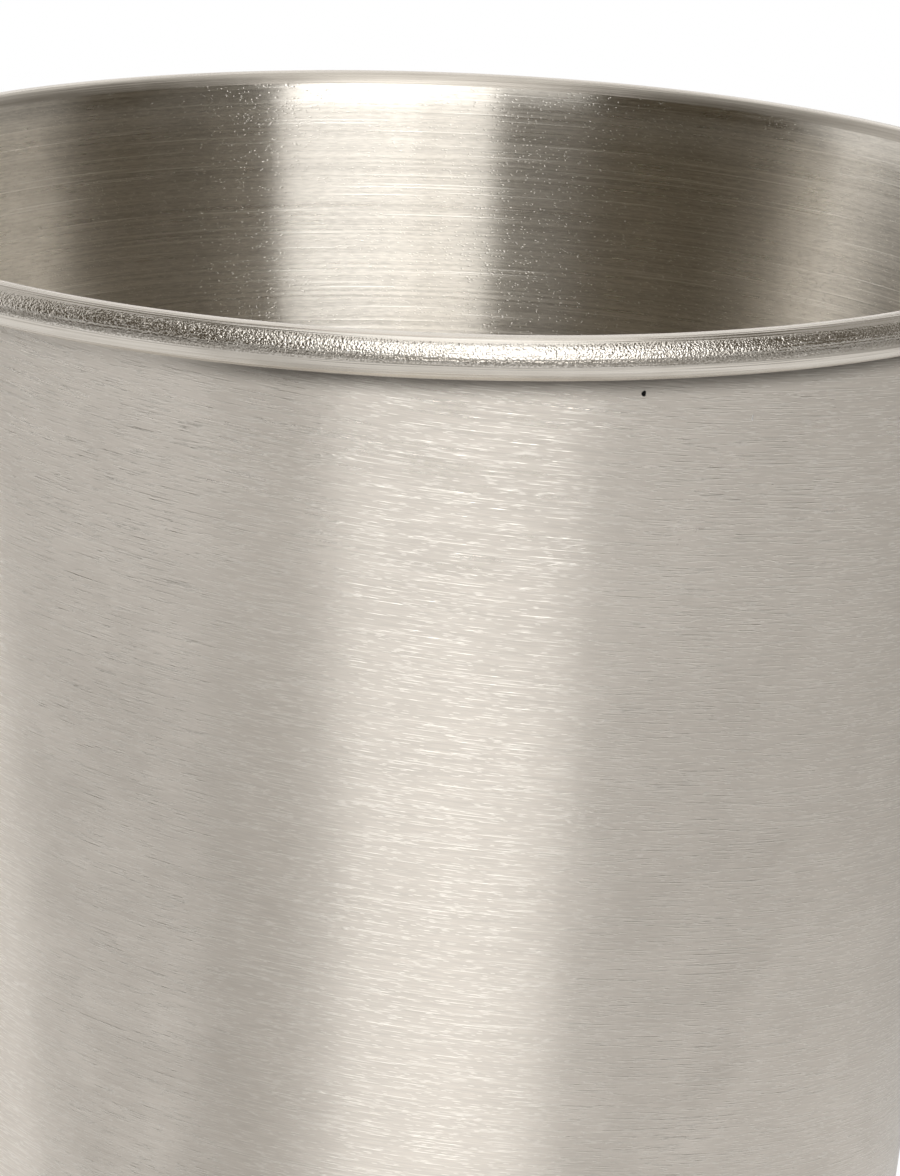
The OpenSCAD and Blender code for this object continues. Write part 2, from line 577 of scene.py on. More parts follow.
class TurnedPlaces:
    """Places on a turned piece: across, up, and round its axis.

    Lines that climb are read by two counts of the turn, which take over from each other between
    the turns of BACK, behind the cup. The other numbers are for scratches: the scale at which
    their rows WANDER, how many times fewer a QUIET row holds, the SHORTEST and the FAINTEST as
    shares of the most, the SOLID share of one, and how far across a ridge its CREST lies.
    """

    BACK = radians(100, 140)
    WANDER = 90.0
    QUIET = 4
    SHORTEST = 0.4
    SOLID = 0.3
    FAINTEST = 0.3
    CREST = 0.3

    def __init__(self, board: Board) -> None:
        """Reads the surface's place from the object's own coordinates.

        Args:
            board: Board of the material.
        """
        self.board = board
        self.whole = board.add("TexCoord").outputs["Object"]
        self.x, self.y, self.z = board.split(self.whole)
        across, ahead = board.maths("POWER", self.x, 2.0), board.maths("POWER", self.y, 2.0)
        self.radius = board.maths("SQRT", board.maths("ADD", across, ahead))
        self.turn = board.maths("ARCTAN2", self.x, board.product(self.y, -1.0))
        past_back = board.maths("LESS_THAN", self.turn, 0.0)
        self.turn_behind = board.maths("MULTIPLY_ADD", past_back, FULL_TURN, self.turn)
        self.behind = board.spread(board.maths("ABSOLUTE", self.turn), self.BACK)
        self.share = board.maths("MULTIPLY_ADD", self.turn, 1 / FULL_TURN, 0.5)

    def lines(self, across: Socket, kind: "Brushing", shift: float, detail: float = 1.0) -> Socket:
        """Noise drawn out into lines that run round the axis.

        Args:
            across: Place across the lines.
            kind: Their length and width.
            shift: Moves the pattern, so that two layers differ.
            detail: Number of finer layers.

        Returns:
            A socket with values round zero.
        """
        board = self.board
        place = board.join(
            board.maths("MULTIPLY_ADD", self.x, 1 / kind.length, shift),
            board.product(self.y, 1 / kind.length),
            board.product(across, 1 / kind.width),
        )
        return board.centred(board.noise(place, 1.0, detail))

    def wound(self, pitch: float, kind: "Brushing", shift: float, detail: float = 1.0) -> Socket:
        """Lines that climb as they run round, as a hand-held belt leaves them.

        Args:
            pitch: Angle of the climb, in radians.
            kind: Their length and width.
            shift: Moves the pattern.
            detail: Number of finer layers.

        Returns:
            A socket with values round zero.
        """
        board = self.board
        if not pitch:
            return self.lines(self.z, kind, shift, detail)
        fields = []
        for turn in (self.turn, self.turn_behind):
            climb = board.product(turn, self.radius, -math.tan(pitch))
            fields.append(self.lines(board.maths("ADD", self.z, climb), kind, shift, detail))
        return board.blend(self.behind, *fields)

    def scratches(self, kind: "Scratches", climb: float, seed: float) -> Socket:
        """Straight ridges that run round the axis, scattered at random.

        Every row of them closes on itself, so no seam shows.

        Args:
            kind: Their size and number.
            climb: Rise of a row in one turn, a whole number of widths.
            seed: Number that makes two layers differ.

        Returns:
            A socket with the ridges' height, from 0 to 1.
        """
        board = self.board
        wander = board.noise(self.whole, self.WANDER)
        level = board.maths("MULTIPLY_ADD", wander, kind.drift, self.z)
        rows = board.maths("MULTIPLY_ADD", self.share, climb, level)
        rows = board.product(rows, 1 / kind.width)
        row = board.maths("FLOOR", rows)
        slide, luck, _ = board.dice(row, seed, 0.0)
        cells = board.product(board.maths("ADD", self.share, slide), float(kind.round))
        cells = board.maths("FLOORED_MODULO", cells, float(kind.round))
        here, long, strong = board.dice(row, board.maths("FLOOR", cells), seed)
        busy = board.maths("GREATER_THAN", luck, 1 - kind.rows)
        limit = board.blend(busy, 1 - kind.keep / self.QUIET, 1 - kind.keep)
        present = board.maths("GREATER_THAN", here, limit)
        half = board.maths("MULTIPLY_ADD", long, 1 - self.SHORTEST, self.SHORTEST)
        along = board.maths("MULTIPLY_ADD", board.maths("FRACT", cells), 2.0, -1.0)
        along = board.maths("DIVIDE", board.maths("ABSOLUTE", along), half)
        ends = board.spread(along, (self.SOLID, 1.0), (1.0, 0.0))
        aside, fall = board.maths("FRACT", rows), 1 / (1 - self.CREST)
        crest = board.maths(
            "MINIMUM",
            board.product(aside, 1 / self.CREST),
            board.maths("MULTIPLY_ADD", aside, -fall, fall),
        )
        strength = board.maths("MULTIPLY_ADD", strong, 1 - self.FAINTEST, self.FAINTEST)
        return board.product(crest, ends, present, strength)


@dataclass(frozen=True)
class Mark:
    """One small mark in a finish, at a turn round the axis and a height."""

    turn_deg: float
    z: float
    wide: float
    high: float
    look: Look
    bow: float = 0.6
    edge: Point = (0.6, 1.1)

    def mask(self, places: TurnedPlaces) -> Socket:
        """Finds the mark on the surface.

        Args:
            places: Places on the piece.

        Returns:
            A socket that is 1 in the mark and 0 outside it.
        """
        board = places.board
        turn = board.maths("SUBTRACT", places.turn, math.radians(self.turn_deg))
        above = board.maths("SUBTRACT", places.z, self.z)
        rise = board.maths("POWER", above, 2.0)
        aside = board.product(turn, places.radius)
        aside = board.maths("MULTIPLY_ADD", rise, -self.bow / self.high, aside)
        far = board.maths(
            "ADD",
            board.maths("POWER", board.product(aside, 2 / self.wide), 2.0),
            board.maths("POWER", board.product(above, 2 / self.high), 2.0),
        )
        return board.spread(far, self.edge, (1.0, 0.0))


@dataclass(frozen=True)
class Brushing:
    """One layer of soft brushing lines: its size, its depth and how visible it is."""

    length: float
    width: float
    depth: float = 0.0
    shade: float = 0.0


@dataclass(frozen=True)
class Scratches:
    """One layer of straight scratches with raised edges.

    The number of places in a turn sets their length. A share of the rows is busy, and there keep is
    the share of the places that hold a scratch. Drift is how far a row wanders up and down.
    """

    round: int
    width: float
    depth: float
    keep: float
    rows: float = 1.0
    shade: float = 0.0
    drift: float = 0.0


@dataclass(frozen=True)
class Finish:
    """What every finish has: a name, its palest and its darkest tint, and its roughness."""

    name: str
    light: Colour
    dark: Colour
    roughness: float

    def material(self) -> bpy.types.Material:
        """Builds the material, which each kind of finish does in its own way."""
        raise NotImplementedError

    def tone(self, board: Board, shade: Sequence[tuple[Socket, float]], middle: float) -> Socket:
        """Colour between the dark and the light tint, shaded round a middle share."""
        return board.tint(board.held(board.sum_up(shade, middle)), self.dark, self.light)


@dataclass(frozen=True)
class BrushedSteel(Finish):
    """Satin steel, brushed round the axis.

    Bare is the tint in a scratch: lighter metal, and a painted glint that offsets the shade of
    its relief. The brushing climbs by pitch_deg. Near the rim, over the heights of rim_fade, its
    roughness and its climb change. Where seam is set, a painted shade darkens the steel in the
    corner under the rim, between those two heights. It is faint on the left, and grows over
    seam_turn.
    """

    # Tint in a scratch: lighter metal, and a painted glint that offsets the shade of its relief.
    bare: Colour
    grain: Brushing
    lines: Brushing
    scratches: tuple[Scratches, ...]
    anisotropy: float = 1.0
    pitch_deg: float = 0.0
    climb: float = 0.0
    mottle: float = 0.12
    mottle_scale: float = 260.0
    mottle_roughness: float = 0.10
    lines_roughness: float = 0.08
    rim_fade: Point = (0.0, 0.0)
    rim_roughness: float = 0.0
    rim_pitch_deg: float = 0.0
    seam: Point | None = None
    # Colour of the painted shade in the corner under the rim.
    seam_shade_colour: Colour = (0.17, 0.155, 0.135)
    seam_ragged: float = 0.5 * MM
    seam_turn: Point = (-0.50, -0.22)
    seam_least: float = 0.3
    marks: tuple[Mark, ...] = ()

    def material(self) -> bpy.types.Material:
        """Builds the material.

        Returns:
            The material.
        """
        board = Paint(self.name)
        places = TurnedPlaces(board)
        pitch = math.radians(self.pitch_deg)
        grain = places.wound(pitch, self.grain, shift=3.1)
        lines = places.wound(pitch, self.lines, shift=17.7, detail=0.0)
        mottle = board.centred(board.noise(places.whole, self.mottle_scale, 2.0))
        cut = [
            (places.scratches(kind, self.climb, seed=5.0 + 3.0 * number), kind)
            for number, kind in enumerate(self.scratches)
        ]
        shade = [(grain, self.grain.shade), (lines, self.lines.shade), (mottle, self.mottle)]
        colour = self.tone(board, shade, middle=0.5)
        # Scratches are tinted towards bare: partly lighter metal, partly a painted glint.
        scratch_glint_share = board.sum_up([(found, kind.shade) for found, kind in cut])
        colour = board.tint(board.held(scratch_glint_share), colour, self.bare)
        coarse = [(mottle, self.mottle_roughness), (lines, self.lines_roughness)]
        rough = board.sum_up(coarse, self.roughness)
        if self.rim_roughness:
            rough = board.maths("ADD", rough, self._near_rim(places, self.rim_roughness))
        if self.seam:
            # Painted shade: the steel is darkened towards seam_shade_colour in the corner under the
            # rolled rim.
            colour = board.tint(self._painted_seam_shade(places, grain), colour, self.seam_shade_colour)
        relief = [(grain, self.grain.depth), (lines, self.lines.depth)]
        relief += [(found, kind.depth) for found, kind in cut]
        for mark in self.marks:
            mask = mark.mask(places)
            tint, height, roughness = mark.look.value
            colour = board.tint(mask, colour, tint)
            relief.append((mask, height))
            if roughness is not None:
                rough = board.blend(mask, rough, roughness)
        board.brush(self.anisotropy, self._tangent(places), self.pitch_deg)
        return board.metal(colour, rough, board.bump(board.sum_up(relief)))

    def _near_rim(self, places: TurnedPlaces, most: float) -> Socket:
        """A value that grows from 0 to the one given over the heights of rim_fade."""
        return places.board.spread(places.z, self.rim_fade, (0.0, most))

    def _painted_seam_shade(self, places: TurnedPlaces, grain: Socket) -> Socket:
        """Finds the painted shade in the corner under the rim.

        Args:
            places: Places on the piece.
            grain: Fine lines, which make its edge ragged.

        Returns:
            A socket with how strong the painted shade is, from 0 to 1.
        """
        board = places.board
        edge = board.maths("MULTIPLY_ADD", grain, self.seam_ragged, places.z)
        return board.product(
            board.spread(edge, self.seam),
            board.spread(places.turn, self.seam_turn, (self.seam_least, 1.0)),
        )

    def _tangent(self, places: TurnedPlaces) -> Socket:
        """Direction round the axis, which swings a little more near the rim.

        Args:
            places: Places on the piece.

        Returns:
            The tangent's socket.
        """
        board = places.board
        tangent = board.ring_tangent()
        if not self.rim_pitch_deg:
            return tangent
        normal = board.add("NewGeometry").outputs["Normal"]
        angle = self._near_rim(places, math.radians(self.rim_pitch_deg))
        swing = {"Vector": tangent, "Axis": normal, "Angle": angle}
        return board.add("VectorRotate", swing, rotation_type="AXIS_ANGLE").outputs[0]


@dataclass(frozen=True)
class RolledSteel(Finish):
    """Steel of the rolled rim. Where it is strained over the roll, its grains stand out.

    Angles are counted round the roll, from straight out and upwards. The grains and the painted
    dark reflection below them each fill a stretch, and towards the mouth the steel is rougher.
    """

    middle: Point
    radius: float
    anisotropy: float = 0.0
    grain: float = 0.0
    depth: float = 0.0
    rings: Brushing = Brushing(12 * MM, 0.14 * MM, 0.045 * MM, 1.1)
    fine: Brushing = Brushing(2.5 * MM, 0.06 * MM, 0.004 * MM)
    strained: Sequence[float] = radians(56, 46, -3, -13)
    reflection_shade_band: Sequence[float] = radians(14, 2, -9, -15)
    # Tint of the painted dark reflection on the bead's lower outer face.
    reflection_shade_tint: Colour = (0.30, 0.27, 0.23)
    reflection_shade_lumps: Point = (0.35, 0.60)
    reflection_shade_share: Point = (0.85, 0.35)
    mouth: Point = radians(98, 120)
    mouth_roughness: float = 0.22
    patch_scale: float = 420.0
    patch_shade: float = 0.5
    patch_roughness: float = 0.12
    pit_level: float = 0.45
    pit_shade: float = 0.5
    grain_melt: float = 0.35
    cell_height: float = -0.6
    lump_height: float = 0.9
    lump_scale: float = 1.6

    def material(self) -> bpy.types.Material:
        """Builds the material.

        Returns:
            The material.
        """
        board = Paint(self.name)
        places = TurnedPlaces(board)
        out = board.maths("SUBTRACT", places.radius, self.middle[0])
        up = board.maths("SUBTRACT", places.z, self.middle[1])
        turn = board.maths("ARCTAN2", up, out)
        across = board.product(turn, self.radius)
        patches = board.centred(board.noise(places.whole, self.patch_scale, 1.0))
        rings = places.lines(across, self.rings, shift=5.5)
        fine = places.lines(across, self.fine, shift=9.5)
        shade = [(rings, self.rings.shade), (patches, self.patch_shade)]
        relief = [(rings, self.rings.depth), (fine, self.fine.depth)]
        if self.grain:
            strained = board.window(turn, self.strained)
            grains, lumps = self._grains(places)
            relief.append((board.product(grains, strained), self.depth))
            pits = board.maths("SUBTRACT", grains, self.pit_level)
            shade.append((board.product(pits, strained), self.pit_shade))
        colour = self.tone(board, shade, middle=0.6)
        if self.grain:
            # Painted dark reflection: the bead's lower outer face is tinted darker in patches.
            patchy = board.spread(lumps, self.reflection_shade_lumps, self.reflection_shade_share, smooth=False)
            reflection_shade_band = board.product(board.window(turn, self.reflection_shade_band), patchy)
            colour = board.tint(reflection_shade_band, colour, self.reflection_shade_tint)
        if self.anisotropy:
            board.brush(self.anisotropy, board.ring_tangent())
        mouth = board.spread(turn, self.mouth)
        coarse = [(patches, self.patch_roughness), (mouth, self.mouth_roughness)]
        rough = board.sum_up(coarse, self.roughness)
        return board.metal(colour, rough, board.bump(board.sum_up(relief)))

    def _grains(self, places: TurnedPlaces) -> tuple[Socket, Socket]:
        """Grains of the strained steel.

        Args:
            places: Places on the piece.

        Returns:
            Sockets with the grains' height and with the lumps between them.
        """
        board = places.board
        inputs = {"Vector": places.whole, "Scale": 1 / self.grain, "Smoothness": self.grain_melt}
        cells = board.add("TexVoronoi", inputs, feature="SMOOTH_F1").outputs["Distance"]
        lumps = board.noise(places.whole, self.lump_scale / self.grain, detail=1.0, rough=0.6)
        terms = [(cells, self.cell_height), (lumps, self.lump_height)]
        return board.sum_up(terms, start=0.3), lumps


@dataclass(frozen=True)
class SpunSteel(Finish):
    """Steel with fine tool rings round the middle, as a lathe leaves them.

    Ring is their width. Where the surface rises, they are laid out by slope times its height.
    """

    anisotropy: float
    ring: float
    depth: float
    slope: float = 0.9
    lengths: Point = (14 * MM, 3 * MM)
    ring_shade: float = 1.2
    cloud_shade: float = 0.6
    cloud_scale: float = 240.0
    cloud_roughness: float = 0.15

    def material(self) -> bpy.types.Material:
        """Builds the material.

        Returns:
            The material.
        """
        board = Paint(self.name)
        places = TurnedPlaces(board)
        across = board.maths("SUBTRACT", places.radius, board.product(places.z, self.slope))
        rings = places.lines(across, Brushing(self.lengths[0], self.ring), shift=2.3, detail=2.0)
        fine = places.lines(across, Brushing(self.lengths[1], self.ring / 4), shift=8.9)
        cloud = board.centred(board.noise(places.whole, self.cloud_scale, 2.0))
        shade = [(rings, self.ring_shade), (cloud, self.cloud_shade), (fine, self.ring_shade / 2)]
        colour = self.tone(board, shade, middle=0.5)
        rough = board.sum_up([(cloud, self.cloud_roughness)], self.roughness)
        normal = board.bump(fine, self.depth / 4, board.bump(rings, self.depth))
        board.brush(self.anisotropy, board.ring_tangent())
        return board.metal(colour, rough, normal)


@dataclass(frozen=True)
class WipedMetal(Finish):
    """Braze that flowed and set, with soft ripples and a few small pits."""

    ripple: float
    ripple_depth: float = 0.05 * MM
    pit_depth: float = 0.02 * MM
    pit_edge: Point = (0.66, 0.76)
    ripple_edge: Point = (0.3, 0.7)
    ripple_roughness: float = 0.2

    def material(self) -> bpy.types.Material:
        """Builds the material.

        Returns:
            The material.
        """
        board = Paint(self.name)
        whole = TurnedPlaces(board).whole
        ripples = board.noise(whole, 1 / self.ripple, 2.0)
        pits = board.spread(board.noise(whole, 3 / self.ripple), self.pit_edge, smooth=False)
        shade = board.spread(ripples, self.ripple_edge, smooth=False)
        shade = board.maths("SUBTRACT", shade, pits, clamp=True)
        colour = board.tint(shade, self.dark, self.light)
        coarse = [(board.centred(ripples), self.ripple_roughness)]
        rough = board.sum_up(coarse, self.roughness)
        normal = board.bump(pits, -self.pit_depth, board.bump(ripples, self.ripple_depth))
        return board.metal(colour, rough, normal)


OUTSIDE_STEEL = BrushedSteel(
    name="outside_steel",
    light=(0.863, 0.80, 0.722),
    dark=(0.738, 0.684, 0.615),
    bare=(1.0, 0.95, 0.875),
    roughness=0.365,
    pitch_deg=-6.2,
    climb=26.0 * MM,
    grain=Brushing(1.6 * MM, 0.075 * MM, 0.005 * MM, 1.6),
    lines=Brushing(9 * MM, 0.22 * MM, 0.003 * MM, 0.9),
    scratches=(
        Scratches(36, 0.08 * MM, 0.018 * MM, 0.16, 0.6, 1.5, 0.1 * MM),
        Scratches(80, 0.08 * MM, 0.018 * MM, 0.28, 0.9, 1.5, 0.1 * MM),
        Scratches(240, 0.08 * MM, 0.015 * MM, 0.34, 1.0, 1.5, 0.1 * MM),
    ),
    rim_fade=(73 * MM, 101 * MM),
    rim_roughness=-0.07,
    rim_pitch_deg=-3.0,
    seam=(103.45 * MM, 105.05 * MM),
    marks=(
        Mark(17.5, 104.0 * MM, 0.30 * MM, 0.42 * MM, Look.PIT),
        Mark(28.0, 101.97 * MM, 0.10 * MM, 0.45 * MM, Look.NICK),
    ),
)
INSIDE_STEEL = BrushedSteel(
    name="inside_steel",
    light=(0.855, 0.81, 0.735),
    dark=(0.61, 0.575, 0.52),
    bare=(1.0, 0.96, 0.89),
    roughness=0.30,
    grain=Brushing(0.7 * MM, 0.09 * MM, 0.003 * MM, 1.5),
    lines=Brushing(60 * MM, 0.13 * MM, 0.002 * MM, 1.3),
    scratches=(
        Scratches(16, 0.11 * MM, 0.006 * MM, 0.24, 0.4, 1.7),
        Scratches(900, 0.09 * MM, 0.012 * MM, 0.13, 1.0, 0.6),
    ),
)
WIRE_STEEL = SpunSteel(
    name="wire_steel",
    light=(0.74, 0.72, 0.69),
    dark=(0.60, 0.58, 0.55),
    roughness=0.35,
    anisotropy=0.5,
    ring=0.1 * MM,
    depth=0.002 * MM,
)
FLOOR_STEEL = SpunSteel(
    name="floor_steel",
    light=(0.79, 0.74, 0.675),
    dark=(0.66, 0.61, 0.55),
    roughness=0.36,
    anisotropy=0.85,
    ring=0.35 * MM,
    depth=0.008 * MM,
)
FOOT_STEEL = SpunSteel(
    name="foot_steel",
    light=(0.80, 0.76, 0.71),
    dark=(0.68, 0.64, 0.59),
    roughness=0.24,
    anisotropy=0.7,
    ring=0.25 * MM,
    depth=0.003 * MM,
)
FLOOR_BRAZE = WipedMetal(
    name="floor_braze_metal",
    light=(0.82, 0.78, 0.70),
    dark=(0.62, 0.57, 0.48),
    roughness=0.3,
    ripple=1.2 * MM,
)
FOOT_BRAZE = WipedMetal(
    name="foot_braze_metal",
    light=(0.82, 0.78, 0.70),
    dark=(0.58, 0.53, 0.45),
    roughness=0.34,
    ripple=0.8 * MM,
)


def settle(turning: Turning, node: str, slot: str, *finishes: Finish) -> None:
    """Makes a piece, finishes it and puts it in the place of its CAD node.

    Args:
        turning: How the piece is made.
        node: CAD node that it stands for.
        slot: The record's material slot, which is not used.
        finishes: Its finishes, in the order of the zones that it has.
    """
    piece = turning.build()
    for finish in finishes:
        piece.data.materials.append(finish.material())
    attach(piece, "root")
    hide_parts(node)
    log.info("%s: %d faces, for %s", piece.name, len(piece.data.polygons), node)


@dataclass
class CupBody:
    """The wall with its rolled rim, and the wire in the roll.

    The steel is strained between the two turns of strained_deg round the roll. The corners of
    the roll's free edge are rounded by edge_in and edge_out, in the room that edge_swing leaves.
    """

    sizes: CupSizes
    side_steps: int = 34
    flare_steps: int = 14
    roll_steps: int = 44
    strained_deg: Point = (-15.0, 58.0)
    edge_swing: float = 0.1
    edge_in: float = 0.1 * MM
    edge_out: float = 0.12 * MM
    low_edge: float = 0.15 * MM
    waves: Waves = Waves(0.012 * MM, 7)

    def face(self, depth: float) -> list[Point]:
        """One face of the wall, from its lower edge up into the small flare.

        Args:
            depth: How deep in the sheet the face lies.

        Returns:
            Its points.
        """
        s = self.sizes
        radius, end = s.side_r + depth, math.pi - s.side_lean
        low = math.pi + math.asin((s.side[1] - s.ledge_z - s.foot_edge_r) / radius)
        long_side = arc(s.side, radius, low, end, self.side_steps)
        flare = arc(s.lip, s.lip_r + depth, end, math.pi - s.lip_lean, self.flare_steps)
        return long_side[:-1] + flare

    def wall_outline(self) -> Outline:
        """Section of the wall: up its outside, round the roll and down its inside.

        Returns:
            The closed outline.
        """
        s = self.sizes
        outer, inner = self.face(0.0), self.face(s.sheet)
        start, end = math.pi - s.lip_lean, -s.edge_turn
        hidden_end = end + self.edge_swing * 2
        hidden = arc(s.roll, s.hole_r, start, hidden_end, self.roll_steps // 3)
        shown = arc(s.roll, s.bead_r, end + self.edge_swing, start, self.roll_steps)
        tip, heel = swung(s.roll, s.hole_r, end), swung(s.roll, s.bead_r, end)
        free_edge = eased(hidden[-1], tip, heel, self.edge_in)
        free_edge += eased(tip, heel, shown[0], self.edge_out)
        low_out = (s.wall_x(s.ledge_z), s.ledge_z)
        low_in = (s.wall_x(s.ledge_z, s.sheet), s.ledge_z)
        foot = eased(inner[0], low_in, low_out, self.low_edge)
        foot += eased(low_in, low_out, outer[0], self.low_edge)
        line = Outline().add(outer, Zone.OUTSIDE).add(hidden[1:] + free_edge, Zone.RIM)
        low, high = self.strained_deg
        for point in shown[:-1]:
            turn = math.degrees(math.atan2(point[1] - s.roll[1], point[0] - s.roll[0]))
            line.add([point], Zone.STRAINED if low < turn < high else Zone.RIM)
        return line.add(inner[::-1], Zone.INSIDE).add(foot, Zone.OUTSIDE)

    def rim_finishes(self) -> list[RolledSteel]:
        """Finishes of the rolled rim, which are laid out round the middle of the roll.

        Returns:
            The plain one and the strained one.
        """
        s = self.sizes
        plain = RolledSteel(
            name="rim_steel",
            light=(0.71, 0.665, 0.60),
            dark=(0.46, 0.42, 0.365),
            roughness=0.22,
            middle=s.roll,
            radius=s.bead_r,
            anisotropy=0.7,
        )
        strained = RolledSteel(
            name="strained_steel",
            light=(0.87, 0.83, 0.77),
            dark=(0.58, 0.53, 0.455),
            roughness=0.22,
            middle=s.roll,
            radius=s.bead_r,
            grain=0.18 * MM,
            depth=0.044 * MM,
        )
        return [plain, strained]

    def build(self) -> None:
        """Makes both pieces."""
        s = self.sizes
        wall = Turning("cup_wall_sheet", self.wall_outline(), sectors=480, waves=self.waves)
        finishes = (OUTSIDE_STEEL, *self.rim_finishes(), INSIDE_STEEL)
        settle(wall, "cup_wall", "wall_steel", *finishes)
        ring = Outline().add(arc(s.roll, s.hole_r - s.wire_gap, 0, FULL_TURN, steps=24)[:-1])
        wire = Turning("rim_wire_ring", ring, sectors=300)
        settle(wire, "rim_wire", "wire_steel", WIRE_STEEL)


@dataclass
class CupFloor:
    """The floor pan and the braze that seals it to the wall.

    The braze climbs the wall and reaches over the floor by shares that swing round the axis. It
    covers the floor's bend between the two turns of hidden_bend.
    """

    sizes: CupSizes
    rings: int = 40
    low_edge: float = 0.12 * MM
    climb_share: Point = (0.86, 0.6)
    reach: float = 0.25 * MM
    reach_share: Point = (0.6, 2.0)
    hidden_bend: Point = radians(76, 20)
    waves: Waves = Waves(0.01 * MM, 21)
    swings: Sequence[Sequence[float]] = ((0.09, 3, 0.4), (0.06, 8, 1.9), (0.04, 17, 0.0))

    def pan_outline(self) -> Outline:
        """Section of the pan, from the middle of its upper face to the middle of its lower one.

        Returns:
            The open outline.
        """
        s = self.sizes
        shares = np.linspace(0, 1, self.rings)
        rise = np.linspace(s.ledge_z, s.bend[1], 8)
        outside = [(s.flange_x(z), z) for z in rise[::-1]]
        inside = [(s.flange_x(z, s.sheet), z) for z in rise]
        low_out, low_in = outside[-1], inside[0]
        line = Outline().add([(share * s.bend[0], s.floor_z) for share in shares[:-1]])
        line.add(arc(s.bend, s.bend_r, QUARTER_TURN, 0, steps=12)[:-1] + outside[:-1])
        line.add(eased(outside[-2], low_out, low_in, self.low_edge))
        line.add(eased(low_out, low_in, inside[1], self.low_edge) + inside[1:-1])
        line.add(arc(s.bend, s.bend_r - s.sheet, 0, QUARTER_TURN, steps=10))
        return line.add([(share * s.bend[0], s.floor_z - s.sheet) for share in shares[-2::-1]])

    def braze_section(self, turn: float) -> list[Point]:
        """Section of the braze at one turn, which climbs the wall a little unevenly.

        Args:
            turn: Angle round the axis.

        Returns:
            The section's points.
        """
        s = self.sizes
        climb = s.climb * uneven(turn, self.climb_share, self.swings)
        reach = self.reach * uneven(turn, self.reach_share, self.swings)
        climb_z = s.floor_z + climb
        low, high = (s.bend[0] + reach, s.floor_z), (s.wall_x(climb_z, s.sheet), climb_z)
        below = arc(s.bend, s.bend_r, *self.hidden_bend, steps=8)
        stop_z = below[-1][1]
        hollow = hollow_face(low, high, steps=12)
        return [*hollow[::-1], *below, (s.wall_x(stop_z, s.sheet), stop_z)]

    def build(self) -> None:
        """Makes both pieces."""
        outline = self.pan_outline()
        pan = Turning("floor_pan_sheet", outline, sectors=360, closed=False, waves=self.waves)
        settle(pan, "floor_pan", "floor_steel", FLOOR_STEEL)
        fillet = Outline().add(self.braze_section(0.0))
        braze = Turning("floor_braze_fillet", fillet, sectors=360, wander=self.braze_section)
        settle(braze, "floor_braze", "braze", FLOOR_BRAZE)


@dataclass
class CupFoot:
    """The foot ring and the braze that holds it to the floor's flange.

    The moulding's crown runs from the turn of crown_start up to the wall, which it meets near
    crown_turn: a few tries find the place. Below it, the ring fits the wall between the two
    heights of fitted.
    """

    sizes: CupSizes
    crown_start: float = -math.pi / 3
    crown_turn: float = math.radians(117)
    tries: int = 6
    band_low: float = 0.6 * MM
    band_margin: float = 0.2 * MM
    fitted: Point = (4.6 * MM, 1.6 * MM)
    crown_edge: float = 0.08 * MM
    seat_corner: float = 0.06 * MM
    ledge_edge: float = 0.15 * MM
    leg_share: Point = (0.88, 0.1)
    swings: Sequence[Sequence[float]] = ((0.5, 4, 0.9), (0.3, 11, 2.2))

    def ring_outline(self) -> Outline:
        """Section of the foot ring: its ledge, its band and its round moulding.

        Returns:
            The closed outline.
        """
        s = self.sizes
        wall_x = s.wall_x(s.ledge_z) + s.fit_gap
        band_x = wall_x + s.band_t
        middle = (band_x - s.moulding_r / 2, s.band_z + s.moulding_r / 2)
        top_turn = self.crown_turn
        for _ in range(self.tries):
            top_z = middle[1] + s.moulding_r * math.sin(top_turn)
            top_turn = math.acos((s.wall_x(top_z) + s.fit_gap - middle[0]) / s.moulding_r)
        crown = arc(middle, s.moulding_r, self.crown_start, top_turn, steps=30)
        seat, ledge = (wall_x, s.ledge_z), (s.foot_in, s.ledge_z)
        toe, heel = (s.foot_in, 0.0), (band_x, 0.0)
        band = np.linspace(self.band_low, crown[0][1] - self.band_margin, 6)
        line = Outline().add(eased(ledge, toe, heel, s.foot_edge_r, steps=8))
        line.add(eased(toe, heel, crown[0], s.foot_edge_r, steps=8))
        line.add([(band_x, z) for z in band] + crown[1:-1])
        line.add(eased(crown[-3], crown[-1], seat, self.crown_edge))
        line.add([(s.wall_x(z) + s.fit_gap, z) for z in np.linspace(*self.fitted, 6)])
        line.add(eased((seat[0], self.fitted[1]), seat, ledge, self.seat_corner))
        return line.add(eased(seat, ledge, toe, self.ledge_edge))

    def braze_section(self, turn: float) -> list[Point]:
        """Section of the braze in the corner between the flange and the ledge, at one turn.

        Args:
            turn: Angle round the axis.

        Returns:
            The section's points.
        """
        s = self.sizes
        leg = s.braze_leg * uneven(turn, self.leg_share, self.swings)
        corner = (s.flange_x(s.ledge_z, s.sheet), s.ledge_z)
        top = (s.flange_x(s.ledge_z + leg, s.sheet), s.ledge_z + leg)
        return [corner, *hollow_face((corner[0] - leg, s.ledge_z), top, steps=10)]

    def build(self) -> None:
        """Makes both pieces."""
        ring = Turning("foot_ring_band", self.ring_outline(), sectors=400)
        settle(ring, "foot_ring", "foot_steel", FOOT_STEEL)
        fillet = Outline().add(self.braze_section(0.0))
        braze = Turning("foot_braze_fillet", fillet, sectors=300, wander=self.braze_section)
        settle(braze, "foot_braze", "braze", FOOT_BRAZE)


def stand(
    data: bpy.types.ID, away: float, height: float, down_deg: float, azimuth_deg: float = 0.0
) -> bpy.types.Object:
    """Puts a camera or a lamp on a stand that is turned to the cup's axis.

    Args:
        data: The camera or the lamp.
        away: Distance of the stand from the axis.
        height: Its height.
        down_deg: How far it looks down.
        azimuth_deg: Turn of the stand round the axis, from the front to the right.

    Returns:
        The new object.
    """
    aim = Matrix.Rotation(math.radians(azimuth_deg), 4, "Z")
    aim @= Matrix.Translation((0.0, -away, height))
    aim @= Matrix.Rotation(math.radians(90 - down_deg), 4, "X")
    made = bpy.data.objects.new(data.name, data)
    made.matrix_world = aim
    bpy.context.scene.collection.objects.link(made)
    return made


